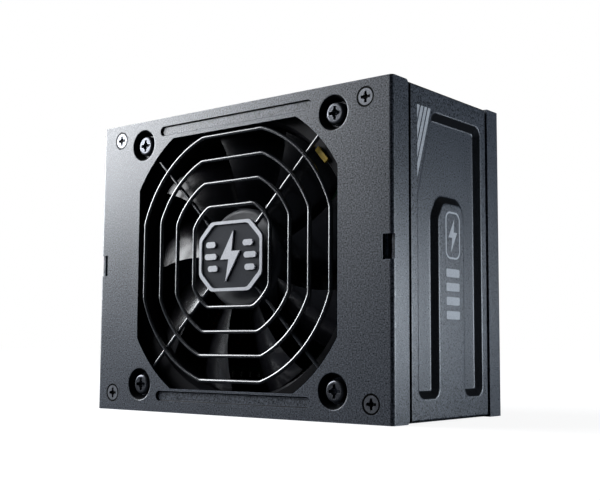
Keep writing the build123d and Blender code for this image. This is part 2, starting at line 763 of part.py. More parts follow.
def primary_heatsink():
    """Finned aluminium extrusion across the board."""
    low_x, high_x = -26.0, 12.0
    sink = block((low_x, -4.0, 58.0), (high_x, 22.0, 60.4))
    fins = 7
    for number in range(fins):
        x = low_x + number * (high_x - low_x - 1.4) / (fins - 1)
        sink += block((x, -4.0, 60.4), (x + 1.4, 22.0, 66.0))
    sink += block((low_x, 22.0, 58.0), (low_x + 3, BOARD_FRONT, 60.4))
    sink += block((high_x - 3, 22.0, 58.0), (high_x, BOARD_FRONT, 60.4))
    return sink


def power_package(x, y, z, width, height):
    """Flat plastic power package with its metal tab and three legs, back face at z."""
    body = block((x - width / 2, y, z - 4.4), (x + width / 2, y + height, z))
    body = chamfer(body.faces().sort_by(Axis.Z)[0].edges(), 0.6)
    for number in (-1, 0, 1):
        leg_x = x + number * 2.54
        body += block((leg_x - 0.4, y + height, z - 2.6), (leg_x + 0.4, BOARD_FRONT, z - 2.1))
    return body


def primary_transistors():
    """Two power transistors on the primary heatsink."""
    return group([power_package(x, 2.0, 58.0, 10.2, 15.5) for x in (-6.0, 6.0)])


def bridge_rectifier():
    """Bridge rectifier on the primary heatsink."""
    return power_package(-19.5, 0.0, 58.0, 13.0, 18.0)


def transformer_core():
    """Two ferrite E cores of the main transformer."""
    x, z = 2.0, 36.0
    low_y, high_y = -6.0, 22.0
    core = block((x - 16, low_y, z - 7), (x + 16, high_y, z + 7))
    for sign in (-1, 1):
        near, far = sorted((sign * 5.2, sign * 11.6))
        core -= block((x + near, low_y + 5, z - 8), (x + far, high_y - 5, z + 8))
    return core


def transformer_winding():
    """Taped winding on the bobbin of the main transformer."""
    x, z = 2.0, 36.0
    low_y, high_y = -0.8, 16.8
    winding = block((x - 11.4, low_y, z - 13), (x + 11.4, high_y, z + 13))
    winding = fillet(winding.edges().filter_by(Axis.Y), 4.0)
    winding -= block((x - 5.3, low_y - 1, z - 7.1), (x + 5.3, high_y + 1, z + 7.1))
    return winding


def secondary_heatsink():
    """Plain aluminium plate beside the transformer."""
    plate = block((22.0, 0.0, 22.0), (24.0, BOARD_FRONT, 56.0))
    for number in range(4):
        z = 24.5 + number * 8.5
        plate += block((20.6, 0.0, z), (22.0, 20.0, z + 1.2))
    return plate


def secondary_transistors():
    """Four power transistors on the secondary heatsink."""
    packages = []
    for number in range(4):
        z = 26.4 + number * 8.4
        body = block((24.0, 4.0, z - 3.6), (28.2, 18.0, z + 3.6))
        body = chamfer(body.faces().sort_by(Axis.X)[-1].edges(), 0.6)
        for leg in (-1, 0, 1):
            leg_z = z + leg * 2.3
            body += block((25.6, 18.0, leg_z - 0.35), (26.1, BOARD_FRONT, leg_z + 0.35))
        packages.append(body)
    return group(packages)


def output_capacitors():
    """Six small cans that smooth the outputs."""
    cans = []
    for x in (35.5, 45.0):
        for z in (24.0, 34.5, 45.0):
            can = rod_y(4.4, x, z, BOARD_FRONT - 15.0, BOARD_FRONT)
            cans.append(fillet(can.edges().group_by(Axis.Y)[0], 0.6))
    return group(cans)


def standby_transformer():
    """Small transformer of the standby supply."""
    core = block((22.0, BOARD_FRONT - 14, 76.0), (36.0, BOARD_FRONT, 90.0))
    core = fillet(core.edges().filter_by(Axis.Y), 1.0)
    return core + block((20.5, BOARD_FRONT - 11, 79.5), (37.5, BOARD_FRONT - 3, 86.5))


def control_board():
    """Small upright board with its control chip."""
    board = block((15.0, 0.0, 66.0), (16.2, BOARD_FRONT, 92.0))
    return board + block((13.4, 8.0, 74.0), (15.0, 15.0, 84.0))


def socket_board():
    """Board that carries the output sockets, above the base."""
    low = SOCKET_BOARD_Z
    board = block((-56.0, -7.0, low), (56.0, 23.8, low + BOARD_SHEET))
    return fillet(board.edges().filter_by(Axis.Z), 1.5)


def socket_cells(x, y, columns):
    """Middle (x, y) of each contact cell in a two-row socket."""
    places = []
    for column in range(columns):
        cell_x = x + (column - (columns - 1) / 2) * SOCKET_PITCH
        for side in (-1, 1):
            places.append((cell_x, y + side * SOCKET_PITCH / 2))
    return places


def socket_housing(x, y, columns):
    """Output socket: a block with one square cell for each contact and a latch step."""
    half = columns * SOCKET_PITCH / 2 + 0.6
    top = SOCKET_FACE_Z + SOCKET_DEPTH
    housing = block((x - half, y - 4.8, SOCKET_FACE_Z), (x + half, y + 4.8, top))
    housing += block((x - half - 1.2, y - 6.2, SHEET), (x + half + 1.2, y + 6.2, SHEET + 1.6))
    housing += block((x - 2.2, y + 4.8, SHEET + 1.6), (x + 2.2, y + 6.2, top - 2))
    cell = 3.5
    for cell_x, cell_y in socket_cells(x, y, columns):
        low = (cell_x - cell / 2, cell_y - cell / 2, SOCKET_FACE_Z - 1)
        high = (cell_x + cell / 2, cell_y + cell / 2, top - 1.6)
        housing -= block(low, high)
        housing -= rod_z(0.75, cell_x, cell_y, top - 3, top + 1)
    return housing


def socket_contacts():
    """Round contact pins of all the sockets, soldered to the socket board."""
    pins = []
    for _, x, y, columns in SOCKETS:
        for cell_x, cell_y in socket_cells(x, y, columns):
            pin = rod_z(0.65, cell_x, cell_y, SOCKET_FACE_Z + 2.6, SOCKET_BOARD_Z)
            pins.append(chamfer(pin.edges().group_by(Axis.Z)[0], 0.25))
    return group(pins)


def all_nodes():
    """Every node of the unit, by name."""
    panel = side_panel()
    nodes = {
        "fan_cover": fan_cover(),
        "chassis_tray": chassis_tray(),
        "side_panel_right": panel,
        "side_panel_left": mirror(panel, Plane.YZ),
        "fan_guard": fan_guard(),
        "guard_badge": guard_badge(),
        "badge_trim": badge_trim(),
        "fan_screws": fan_screws(),
        "cover_screws": cover_screws(),
        "fan_frame": fan_frame(),
        "fan_rotor": fan_rotor(),
        "rotor_yoke": rotor_yoke(),
        "rotor_magnet": rotor_magnet(),
        "fan_shaft": fan_shaft(),
        "bearing_sleeve": bearing_sleeve(),
        "stator_core": stator_core(),
        "stator_coils": stator_coils(),
        "fan_board": fan_board(),
        "fan_lead": fan_lead(),
        "corner_tape": corner_tape(),
        "ac_inlet": ac_inlet(),
        "inlet_pins": inlet_pins(),
        "inlet_screws": inlet_screws(),
        "switch_frame": switch_frame(),
        "switch_rocker": switch_rocker(),
        "switch_terminals": switch_terminals(),
        "ac_wires": ac_wires(),
        "main_board": main_board(),
        "insulating_sheet": insulating_sheet(),
        "board_standoffs": board_standoffs(),
        "board_screws": board_screws(),
        "emi_choke_core": toroid_core(*EMI_CHOKE),
        "emi_choke_winding": toroid_winding(*EMI_CHOKE, 10, 0.55),
        "pfc_choke_core": toroid_core(*PFC_CHOKE),
        "pfc_choke_winding": toroid_winding(*PFC_CHOKE, 14, 0.6),
        "output_choke_core": toroid_core(*OUTPUT_CHOKE),
        "output_choke_winding": toroid_winding(*OUTPUT_CHOKE, 10, 0.6),
        "bulk_capacitor": bulk_capacitor(),
        "x_capacitors": x_capacitors(),
        "primary_heatsink": primary_heatsink(),
        "primary_transistors": primary_transistors(),
        "bridge_rectifier": bridge_rectifier(),
        "transformer_core": transformer_core(),
        "transformer_winding": transformer_winding(),
        "secondary_heatsink": secondary_heatsink(),
        "secondary_transistors": secondary_transistors(),
        "output_capacitors": output_capacitors(),
        "standby_transformer": standby_transformer(),
        "control_board": control_board(),
        "socket_board": socket_board(),
        "socket_contacts": socket_contacts(),
    }
    for name, x, y, columns in SOCKETS:
        nodes[name] = socket_housing(x, y, columns)
    return nodes


os.makedirs("parts", exist_ok=True)
for node_name, shape in all_nodes().items():
    export_step(shape, f"parts/{node_name}.step")
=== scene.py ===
import json
import math

import bmesh
import bpy
from mathutils import Matrix, Vector


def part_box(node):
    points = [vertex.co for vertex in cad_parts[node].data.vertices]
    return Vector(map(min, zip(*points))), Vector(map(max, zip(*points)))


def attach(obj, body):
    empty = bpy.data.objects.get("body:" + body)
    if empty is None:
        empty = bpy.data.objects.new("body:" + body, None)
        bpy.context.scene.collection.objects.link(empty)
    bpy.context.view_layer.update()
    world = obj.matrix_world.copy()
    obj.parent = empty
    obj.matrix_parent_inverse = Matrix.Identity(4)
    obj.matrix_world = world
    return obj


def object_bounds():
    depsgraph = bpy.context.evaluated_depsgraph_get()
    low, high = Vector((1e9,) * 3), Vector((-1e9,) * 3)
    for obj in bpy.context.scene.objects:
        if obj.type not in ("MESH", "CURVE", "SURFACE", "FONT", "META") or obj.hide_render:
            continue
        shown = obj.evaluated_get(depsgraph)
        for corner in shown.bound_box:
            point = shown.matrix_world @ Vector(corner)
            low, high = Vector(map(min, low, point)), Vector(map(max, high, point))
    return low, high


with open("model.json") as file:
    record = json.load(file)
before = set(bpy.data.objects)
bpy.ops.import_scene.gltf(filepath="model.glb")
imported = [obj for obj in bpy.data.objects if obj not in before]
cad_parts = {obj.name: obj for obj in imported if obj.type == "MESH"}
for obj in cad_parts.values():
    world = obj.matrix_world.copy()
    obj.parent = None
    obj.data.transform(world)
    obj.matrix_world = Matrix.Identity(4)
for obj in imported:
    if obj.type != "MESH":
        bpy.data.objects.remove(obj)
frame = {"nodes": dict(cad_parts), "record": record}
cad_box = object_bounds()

MM = 0.001
scene = bpy.context.scene
scene.view_settings.view_transform = "Standard"
nodes_of_unit = frame["nodes"]
unit_low = cad_box[0]

# ---------------------------------------------------------------- camera
# A short telephoto at the height of the lower third, close to the corner between the fan cover
# and the right side, so that both faces narrow away from the near edge.
eye = Vector((221.24, -270.75, 21.27)) * MM
turn_left = math.radians(38.83)
tilt_up = math.radians(5.54)
roll = math.radians(0.32)
ahead = Vector((
    -math.sin(turn_left) * math.cos(tilt_up),
    math.cos(turn_left) * math.cos(tilt_up),
    math.sin(tilt_up),
))
level = Vector((math.cos(turn_left), math.sin(turn_left), 0))
above = level.cross(ahead)
right = level * math.cos(roll) + above * math.sin(roll)
above = above * math.cos(roll) - level * math.sin(roll)
lens = bpy.data.cameras.new("corner_camera")
lens.lens = 61.15
lens.sensor_width = 36
lens.clip_start = 0.01
lens.clip_end = 50
camera = bpy.data.objects.new("corner_camera", lens)
facing = Matrix((right, above, -ahead)).transposed()
camera.matrix_world = Matrix.Translation(eye) @ facing.to_4x4()
scene.collection.objects.link(camera)
scene.camera = camera

# ---------------------------------------------------------------- studio
# A pale floor under a white surround. A large soft box and a closer strip light the front from the
# left, a low narrow box lights the right side from behind, and a weak one hangs overhead. The space
# behind the camera stays dark, so the near edge stays dark.
centre = Vector((0, 0, 50)) * MM


def soft_box(name, direction, distance, width, height, watts, tint=(1, 1, 1)):
    """Rectangular light that faces the middle of the unit."""
    light = bpy.data.lights.new(name, "AREA")
    light.shape = "RECTANGLE"
    light.size = width
    light.size_y = height
    light.energy = watts
    light.color = tint
    lamp = bpy.data.objects.new(name, light)
    toward = Vector(direction).normalized()
    lamp.location = centre + toward * distance
    lamp.rotation_euler = toward.to_track_quat("Z", "Y").to_euler()
    lamp.visible_camera = False
    scene.collection.objects.link(lamp)
    return lamp


soft_box("left_box", (-0.815, -0.380, 0.438), 0.55, 0.42, 0.32, 6, tint=(0.95, 0.97, 1.0))
soft_box("right_box", (0.88, 0.475, -0.010), 0.42, 0.25, 0.08, 0.95, tint=(0.81, 0.90, 1.0))
soft_box("top_box", (0.1, 0.25, 1.0), 1.2, 0.8, 0.8, 4)
soft_box("edge_strip", (-0.97, -0.24, 0.25), 0.62, 0.20, 0.28, 3.2, tint=(0.90, 0.95, 1.0))

world = bpy.data.worlds.new("white_surround")
scene.world = world
world.use_nodes = True
sky = world.node_tree
background = sky.nodes["Background"]
seen = sky.nodes.new("ShaderNodeLightPath")
glow = sky.nodes.new("ShaderNodeMapRange")
glow.inputs["To Min"].default_value = 0.02
glow.inputs["To Max"].default_value = 1.0
sky.links.new(seen.outputs["Is Camera Ray"], glow.inputs["Value"])
sky.links.new(glow.outputs["Result"], background.inputs["Strength"])
tone = sky.nodes.new("ShaderNodeMix")
tone.data_type = "RGBA"
tone.inputs["A"].default_value = (0.55, 0.72, 1.0, 1)
tone.inputs["B"].default_value = (1, 1, 1, 1)
sky.links.new(seen.outputs["Is Camera Ray"], tone.inputs["Factor"])
sky.links.new(tone.outputs["Result"], background.inputs["Color"])

floor_mesh = bpy.data.meshes.new("floor")
reach = 12.0
corners = [(-reach, -reach, 0), (reach, -reach, 0), (reach, reach, 0), (-reach, reach, 0)]
floor_mesh.from_pydata(corners, [], [(0, 1, 2, 3)])
floor = bpy.data.objects.new("floor", floor_mesh)
floor.location.z = unit_low[2] - 0.00002
scene.collection.objects.link(floor)
paper = bpy.data.materials.new("pale_floor")
paper.use_nodes = True
tree = paper.node_tree
matt = tree.nodes["Principled BSDF"]
matt.inputs["Base Color"].default_value = (0.11, 0.11, 0.11, 1)
matt.inputs["Roughness"].default_value = 0.8
lit = tree.nodes.new("ShaderNodeEmission")
lit.inputs["Color"].default_value = (1, 1, 1, 1)
spot = tree.nodes.new("ShaderNodeTexCoord")
away = tree.nodes.new("ShaderNodeVectorMath")
away.operation = "LENGTH"
tree.links.new(spot.outputs["Object"], away.inputs[0])
fade = tree.nodes.new("ShaderNodeMapRange")
fade.inputs["From Min"].default_value = 0.10
fade.inputs["From Max"].default_value = 0.60
fade.inputs["To Min"].default_value = 0.89
fade.inputs["To Max"].default_value = 1.0
tree.links.new(away.outputs["Value"], fade.inputs["Value"])
tree.links.new(fade.outputs["Result"], lit.inputs["Strength"])
dull = tree.nodes.new("ShaderNodeBsdfDiffuse")
dull.inputs["Color"].default_value = (0.05, 0.055, 0.065, 1)
sum_up = tree.nodes.new("ShaderNodeAddShader")
choose = tree.nodes.new("ShaderNodeMixShader")
path = tree.nodes.new("ShaderNodeLightPath")
tree.links.new(matt.outputs[0], sum_up.inputs[0])
tree.links.new(lit.outputs[0], sum_up.inputs[1])
tree.links.new(path.outputs["Is Camera Ray"], choose.inputs[0])
tree.links.new(dull.outputs[0], choose.inputs[1])
tree.links.new(sum_up.outputs[0], choose.inputs[2])
tree.links.new(choose.outputs[0], tree.nodes["Material Output"].inputs["Surface"])
floor_mesh.materials.append(paper)

# ---------------------------------------------------------------- chassis tray
# Folded and welded box of 1 mm steel that holds everything, with the mains plate on top and the
# socket plate below. It is powder coated black, with a fine even grain.


def finish(name, dark, light, rough, grain_mm, depth_mm, patch_mm=14.0, metallic=0.0, spread=0.06,
           speck=0.55, span=(0.34, 0.66), wear=0.0, **sockets):
    """Finish with a grain that tints, dulls and dents it, slow patches, and edges rubbed bare and
    lightened as a painted highlight.
    """
    material = bpy.data.materials.new(name)
    material.use_nodes = True
    tree = material.node_tree
    shader = tree.nodes["Principled BSDF"]
    shader.inputs["Metallic"].default_value = metallic
    for socket, value in sockets.items():
        shader.inputs[socket.replace("_", " ")].default_value = value
    place = tree.nodes.new("ShaderNodeTexCoord")
    patches = noise(tree, place, 1 / (patch_mm * MM), 3.0)
    grain = noise(tree, place, 1 / (grain_mm * MM), 2.0)
    slow = number(tree, "MULTIPLY", patches.outputs["Fac"], 1 - speck)
    weight = number(tree, "MULTIPLY_ADD", grain.outputs["Fac"], speck, slow)
    ramp = tree.nodes.new("ShaderNodeValToRGB")
    ramp.color_ramp.elements[0].position = span[0]
    ramp.color_ramp.elements[0].color = (*dark, 1)
    ramp.color_ramp.elements[1].position = span[1]
    ramp.color_ramp.elements[1].color = (*light, 1)
    tree.links.new(weight, ramp.inputs["Fac"])
    colour = ramp.outputs["Color"]
    if wear:
        colour = rubbed_and_highlit_edges(tree, patches, colour, light, wear)
    tree.links.new(colour, shader.inputs["Base Color"])
    gloss = tree.nodes.new("ShaderNodeMapRange")
    gloss.inputs["From Min"].default_value = 0.3
    gloss.inputs["From Max"].default_value = 0.7
    gloss.inputs["To Min"].default_value = rough - spread
    gloss.inputs["To Max"].default_value = rough + spread
    tree.links.new(weight, gloss.inputs["Value"])
    tree.links.new(gloss.outputs["Result"], shader.inputs["Roughness"])
    bump = tree.nodes.new("ShaderNodeBump")
    bump.inputs["Strength"].default_value = 1.0
    bump.inputs["Distance"].default_value = depth_mm * MM
    tree.links.new(grain.outputs["Fac"], bump.inputs["Height"])
    tree.links.new(bump.outputs["Normal"], shader.inputs["Normal"])
    return material


def number(tree, operation, first, second, third=None):
    """Output of one sum; each input is a constant or another node's output."""
    sum_node = tree.nodes.new("ShaderNodeMath")
    sum_node.operation = operation
    for socket, value in zip(sum_node.inputs, (first, second, third)):
        if isinstance(value, bpy.types.NodeSocket):
            tree.links.new(value, socket)
        elif value is not None:
            socket.default_value = value
    return sum_node.outputs[0]


def rubbed_and_highlit_edges(tree, patches, colour, light, wear):
    """Mixes in a paler, patchy tone where the surface turns sharply: partly edges rubbed bare,
    partly a painted highlight.
    """
    round_over = tree.nodes.new("ShaderNodeBevel")
    round_over.samples = 4
    round_over.inputs["Radius"].default_value = 0.5 * MM
    flat = tree.nodes.new("ShaderNodeNewGeometry")
    turn = tree.nodes.new("ShaderNodeVectorMath")
    turn.operation = "DOT_PRODUCT"
    tree.links.new(round_over.outputs["Normal"], turn.inputs[0])
    tree.links.new(flat.outputs["Normal"], turn.inputs[1])
    edge = number(tree, "SUBTRACT", 1.0, turn.outputs["Value"])
    edge = number(tree, "MULTIPLY", edge, patches.outputs["Fac"])
    edge = number(tree, "MULTIPLY", edge, wear)
    edge = number(tree, "MINIMUM", edge, 1.0)
    bare_and_highlit = tuple(min(4 * c, 1) for c in light)
    return mixed(tree, edge, colour, (*bare_and_highlit, 1))


def mixed(tree, amount, first, second):
    """Colour between two; each of them is a constant or another node's output."""
    blend = tree.nodes.new("ShaderNodeMix")
    blend.data_type = "RGBA"
    tree.links.new(amount, blend.inputs["Factor"])
    for socket, colour in ((blend.inputs["A"], first), (blend.inputs["B"], second)):
        if isinstance(colour, bpy.types.NodeSocket):
            tree.links.new(colour, socket)
        else:
            socket.default_value = colour
    return blend.outputs["Result"]


def position(tree):
    """Separate coordinates of the point, in the unit's own metres."""
    place = tree.nodes.new("ShaderNodeTexCoord")
    split = tree.nodes.new("ShaderNodeSeparateXYZ")
    tree.links.new(place.outputs["Object"], split.inputs[0])
    return split.outputs


def paint_shade_on_walls(material, axis, within=None):
    """Paints shade on the walls of pressed lines, which turn away from this axis: near black,
    metallic and duller.
    """
    tree = material.node_tree
    shader = tree.nodes["Principled BSDF"]
    surface = tree.nodes.new("ShaderNodeNewGeometry")
    turned = tree.nodes.new("ShaderNodeSeparateXYZ")
    tree.links.new(surface.outputs["Normal"], turned.inputs[0])
    wall = tree.nodes.new("ShaderNodeMapRange")
    wall.inputs["From Min"].default_value = 0.86
    wall.inputs["From Max"].default_value = 0.97
    wall.inputs["To Min"].default_value = 0.92
    wall.inputs["To Max"].default_value = 0.0
    tree.links.new(number(tree, "ABSOLUTE", turned.outputs[axis], 0.0), wall.inputs["Value"])
    amount = wall.outputs["Result"]
    if within:
        across = number(tree, "ABSOLUTE", position(tree)["X"], 0.0)
        amount = number(tree, "MULTIPLY", amount, number(tree, "LESS_THAN", across, within))
    colour = shader.inputs["Base Color"].links[0].from_socket
    # Painted shade: the walls take this near-black colour in place of the coat.
    painted_shade_black = (0.0015, 0.0018, 0.0025, 1)
    tree.links.new(mixed(tree, amount, colour, painted_shade_black), shader.inputs["Base Color"])
    tree.links.new(amount, shader.inputs["Metallic"])
    gloss = shader.inputs["Roughness"].links[0].from_socket
    tree.links.new(number(tree, "MULTIPLY_ADD", amount, 0.25, gloss), shader.inputs["Roughness"])


def noise(tree, place, scale, detail):
    """Noise in the unit's own metres."""
    texture = tree.nodes.new("ShaderNodeTexNoise")
    texture.inputs["Scale"].default_value = scale
    texture.inputs["Detail"].default_value = detail
    tree.links.new(place.outputs["Object"], texture.inputs["Vector"])
    return texture


def coat(node, material):
    """The CAD piece takes this finish."""
    piece = nodes_of_unit[node]
    piece.data.materials.clear()
    piece.data.materials.append(material)
    return piece


# The coat's edges are paler: partly rubbed bare, partly a painted highlight.
coat_look = dict(dark=(0.017, 0.020, 0.025), light=(0.092, 0.105, 0.132), rough=0.34, grain_mm=0.46,
                 depth_mm=0.036, patch_mm=30, spread=0.09, speck=0.92, span=(0.42, 0.66), wear=1.2,
                 Specular_IOR_Level=0.6)
black_coat = finish("black_powder_coat", **coat_look)
coat("chassis_tray", black_coat)

# ---------------------------------------------------------------- main board and its fixings
# Glass fibre board with green solder mask, screwed to four plated pillars on the back plate. A
# thin clear film lies between the board and the plate.
solder_mask = finish("solder_mask", (0.010, 0.050, 0.020), (0.022, 0.085, 0.034), 0.35, 1.6, 0.02,
                     patch_mm=6, Coat_Weight=0.3)
coat("main_board", solder_mask)
coat("control_board", solder_mask)
coat("socket_board", solder_mask)
coat("fan_board", solder_mask)
clear_film = finish("clear_film", (0.55, 0.56, 0.55), (0.70, 0.70, 0.68), 0.25, 3.0, 0.01)
coat("insulating_sheet", clear_film)
nickel = finish("nickel_plate", (0.48, 0.48, 0.47), (0.64, 0.64, 0.63), 0.30, 0.5, 0.006,
                patch_mm=3, metallic=1.0)
coat("board_standoffs", nickel)
coat("board_screws", nickel)
coat("inlet_screws", nickel)

# ---------------------------------------------------------------- chokes
# Ring cores of pressed iron powder, each wound with lacquered copper wire.
ferrite = finish("ferrite", (0.030, 0.030, 0.033), (0.070, 0.070, 0.074), 0.6, 0.4, 0.03)
copper = finish("lacquered_copper", (0.20, 0.065, 0.025), (0.34, 0.12, 0.045), 0.28, 0.8, 0.01,
                metallic=1.0, Coat_Weight=0.5)
for choke in ("emi_choke", "pfc_choke", "output_choke"):
    coat(f"{choke}_core", ferrite)
    coat(f"{choke}_winding", copper)
coat("transformer_core", ferrite)
coat("stator_coils", copper)

# ---------------------------------------------------------------- capacitors
# Aluminium cans in dark shrink sleeve, and moulded yellow film boxes.
shrink = finish("shrink_sleeve", (0.020, 0.024, 0.050), (0.032, 0.038, 0.070), 0.24, 2.0, 0.01,
                Coat_Weight=0.3)
coat("bulk_capacitor", shrink)
coat("output_capacitors", shrink)
film_box = finish("film_box", (0.50, 0.36, 0.06), (0.62, 0.46, 0.09), 0.35, 0.9, 0.015)
coat("x_capacitors", film_box)

# ---------------------------------------------------------------- transformers
# Wound bobbins wrapped in dark polyester tape.
dark_tape = finish("dark_tape", (0.016, 0.013, 0.010), (0.032, 0.027, 0.021), 0.32, 1.4, 0.02,
                   patch_mm=5, Coat_Weight=0.2)
coat("transformer_winding", dark_tape)
coat("standby_transformer", dark_tape)

# ---------------------------------------------------------------- heatsinks and power packages
# Extruded aluminium, left plain, with black epoxy packages clamped to it.
plain_aluminium = finish("plain_aluminium", (0.46, 0.46, 0.48), (0.62, 0.62, 0.64), 0.38, 0.6, 0.01,
                         metallic=1.0)
coat("primary_heatsink", plain_aluminium)
coat("secondary_heatsink", plain_aluminium)
epoxy = finish("black_epoxy", (0.012, 0.012, 0.013), (0.024, 0.024, 0.026), 0.55, 0.3, 0.02)
coat("primary_transistors", epoxy)
coat("secondary_transistors", epoxy)
coat("bridge_rectifier", epoxy)

# ---------------------------------------------------------------- output sockets
# Black nylon headers with one cell for each contact pin, soldered to the upright board.
nylon = finish("black_nylon", (0.010, 0.010, 0.011), (0.020, 0.020, 0.022), 0.45, 0.35, 0.02)
for name in nodes_of_unit:
    if name.startswith("socket_") and name not in ("socket_board", "socket_contacts"):
        coat(name, nylon)
tinned = finish("tinned_brass", (0.56, 0.52, 0.42), (0.72, 0.68, 0.56), 0.25, 0.4, 0.005,
                metallic=1.0)
coat("socket_contacts", tinned)

# ---------------------------------------------------------------- mains inlet
# Black moulded three-pin inlet, screwed behind the mains plate, with tinned pins.
coat("ac_inlet", nylon)
coat("inlet_pins", tinned)
coat("switch_terminals", tinned)
wire_cover = finish("wire_cover", (0.10, 0.04, 0.02), (0.16, 0.07, 0.03), 0.45, 0.8, 0.01)
coat("ac_wires", wire_cover)

# ---------------------------------------------------------------- mains switch
# Snap-in rocker switch: a moulded frame with a polished rocker on two pivots.
# The rocker's edges are paler: partly rubbed bare, partly a painted highlight.
gloss_black = finish("gloss_black", (0.008, 0.008, 0.009), (0.016, 0.016, 0.018), 0.22, 1.2, 0.008,
                     wear=2.0)
coat("switch_frame", nylon)
coat("switch_rocker", gloss_black)

# ---------------------------------------------------------------- side panels
# Embossed steel panels with folded edges, coated like the tray.
panel_coat = finish("panel_powder_coat", **coat_look)
# Painted shade: the walls of the embossed recess are painted near black.
paint_shade_on_walls(panel_coat, "X")
coat("side_panel_right", panel_coat)
coat("side_panel_left", panel_coat)

# ---------------------------------------------------------------- marks on the side panels
# Pad-printed in pale grey ink, the same on both panels: four slanted stripes in the corner beside
# the recess, and on the raised tongue a plain power sign over four bars.
ink = finish("pale_grey_ink", (0.42, 0.43, 0.46), (0.60, 0.62, 0.64), 0.5, 0.5, 0.03, patch_mm=4,
             speck=0.7)


def rounded(y, z, half_y, half_z, radius, steps=6):
    """Closed outline of a rounded rectangle, in millimetres."""
    points = []
    for corner, (sign_y, sign_z) in enumerate(((1, 1), (-1, 1), (-1, -1), (1, -1))):
        for step in range(steps + 1):
            angle = math.pi / 2 * (corner + step / steps)
            points.append((y + sign_y * (half_y - radius) + radius * math.cos(angle),
                           z + sign_z * (half_z - radius) + radius * math.sin(angle)))
    return points


def film_of_ink(name, shapes, surface, body):
    """Thin raised film: each shape is an outline, or an outer and an inner outline for a ring."""
    film_mm = 0.04
    verts = []
    faces = []
    for shape in shapes:
        loops = shape if isinstance(shape[0][0], tuple) else (shape,)
        count = len(loops[0])
        start = len(verts)
        for level in (-0.01, film_mm):
            for loop in loops:
                verts += [surface(a, b, level) for a, b in loop]
        layers = [range(start + k * count, start + (k + 1) * count) for k in range(2 * len(loops))]
        if len(loops) == 1:
            low, high = layers
            faces += [tuple(reversed(low)), tuple(high)]
            walls = [(low, high)]
        else:
            low, low_in, high, high_in = layers
            walls = [(low, high), (high, high_in), (high_in, low_in), (low_in, low)]
        for first, second in walls:
            for k in range(count):
                after = (k + 1) % count
                faces.append((first[k], first[after], second[after], second[k]))
    mesh = bpy.data.meshes.new(name)
    mesh.from_pydata([tuple(c * MM for c in v) for v in verts], [], faces)
    made = bmesh.new()
    made.from_mesh(mesh)
    bmesh.ops.recalc_face_normals(made, faces=made.faces)
    made.to_mesh(mesh)
    made.free()
    piece = bpy.data.objects.new(name, mesh)
    scene.collection.objects.link(piece)
    mesh.materials.append(ink)
    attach(piece, body)
    return piece


stripe_slant = 7.6 / 21.7
stripe_top = 93.6
stripe_edge = -18.6
stripe_width = 1.4
shapes = []
for near in (-18.5, -16.4, -14.4, -12.4):
    far = near + stripe_width
    low_near = stripe_top - (near - stripe_edge) / stripe_slant
    low_far = stripe_top - (far - stripe_edge) / stripe_slant
    shapes.append([
        (near, stripe_top), (stripe_edge, low_near), (stripe_edge, low_far), (far, stripe_top),
    ])
sign_y, sign_z = 1.5, 56.2
shapes.append((rounded(sign_y, sign_z, 4.3, 7.3, 2.6), rounded(sign_y, sign_z, 3.75, 6.75, 2.1)))
bolt = ((0.9, 5.2), (-2.6, -0.7), (-0.4, -0.7), (-1.1, -5.2), (2.6, 1.0), (0.5, 1.0))
shapes.append([(sign_y + a, sign_z + b) for a, b in bolt])
top_bar_z = 44.6
bar_pitch = 4.3
for bar in range(4):
    shapes.append(rounded(1.4, top_bar_z - bar_pitch * bar, 3.9, 1.25, 0.5))
for label, sign in (("right", 1), ("left", -1)):
    low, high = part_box(f"side_panel_{label}")
    skin_mm = (high[0] if sign > 0 else -low[0]) / MM

    def on_panel(y, z, level, sign=sign, skin_mm=skin_mm):
        """Point on the flat of this panel."""
        return (sign * (skin_mm + level), y, z)

    film_of_ink(f"panel_marks_{label}", shapes, on_panel, "case")

# ---------------------------------------------------------------- marks on the rocker
# A bar on one half of the rocker and a ring on the other, printed in the same pale ink.
joints = {joint["name"]: joint for joint in frame["record"]["behaviour"]["joints"]}
pivot = [c / MM for c in joints["power_switch"]["pos_m"]]
rocker_tilt = math.radians(10)
valley_mm = 3.0
rise = 1.55 / 9
mark_b = 4.3


def on_rocker(a, b, level):
    """Point on the rocker's two sloping faces at rest; a runs across and b along it."""
    z = valley_mm + abs(b) * rise + level + 0.01
    y = b * math.cos(rocker_tilt) - z * math.sin(rocker_tilt)
    z = b * math.sin(rocker_tilt) + z * math.cos(rocker_tilt)
    return (pivot[0] + a, y, pivot[2] + z)


film_of_ink("rocker_marks", [
    rounded(0, mark_b, 0.35, 1.5, 0.3),
    (rounded(0, -mark_b, 1.5, 1.5, 1.5), rounded(0, -mark_b, 0.9, 0.9, 0.9)),
], on_rocker, "rocker")

# ---------------------------------------------------------------- fan
# Glass filled nylon frame and a glossy moulded rotor with nine blades.
fan_plastic = finish("fan_plastic", (0.002, 0.002, 0.003), (0.006, 0.006, 0.008), 0.55, 0.4, 0.02,
                     Specular_IOR_Level=0.08)
rotor_plastic = finish("rotor_plastic", (0.003, 0.003, 0.004), (0.006, 0.006, 0.008), 0.24, 3.0,
                       0.0006, spread=0.015, Specular_IOR_Level=0.40)
tree = rotor_plastic.node_tree
shader = tree.nodes["Principled BSDF"]
polished = shader.inputs["Roughness"].links[0].from_socket
point = position(tree)
yoke_low, yoke_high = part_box("rotor_yoke")
axis_z = (yoke_low[2] + yoke_high[2]) / 2
hub_wall = 2.2 * MM
hub_r = (yoke_high[0] - yoke_low[0]) / 2 + hub_wall
up = number(tree, "SUBTRACT", point["Z"], axis_z)
up = number(tree, "MULTIPLY", up, up)
out = number(tree, "MULTIPLY_ADD", point["X"], point["X"], up)
on_blade = number(tree, "GREATER_THAN", out, hub_r ** 2)
satin = number(tree, "MULTIPLY", number(tree, "SUBTRACT", 1.0, on_blade), 0.26)
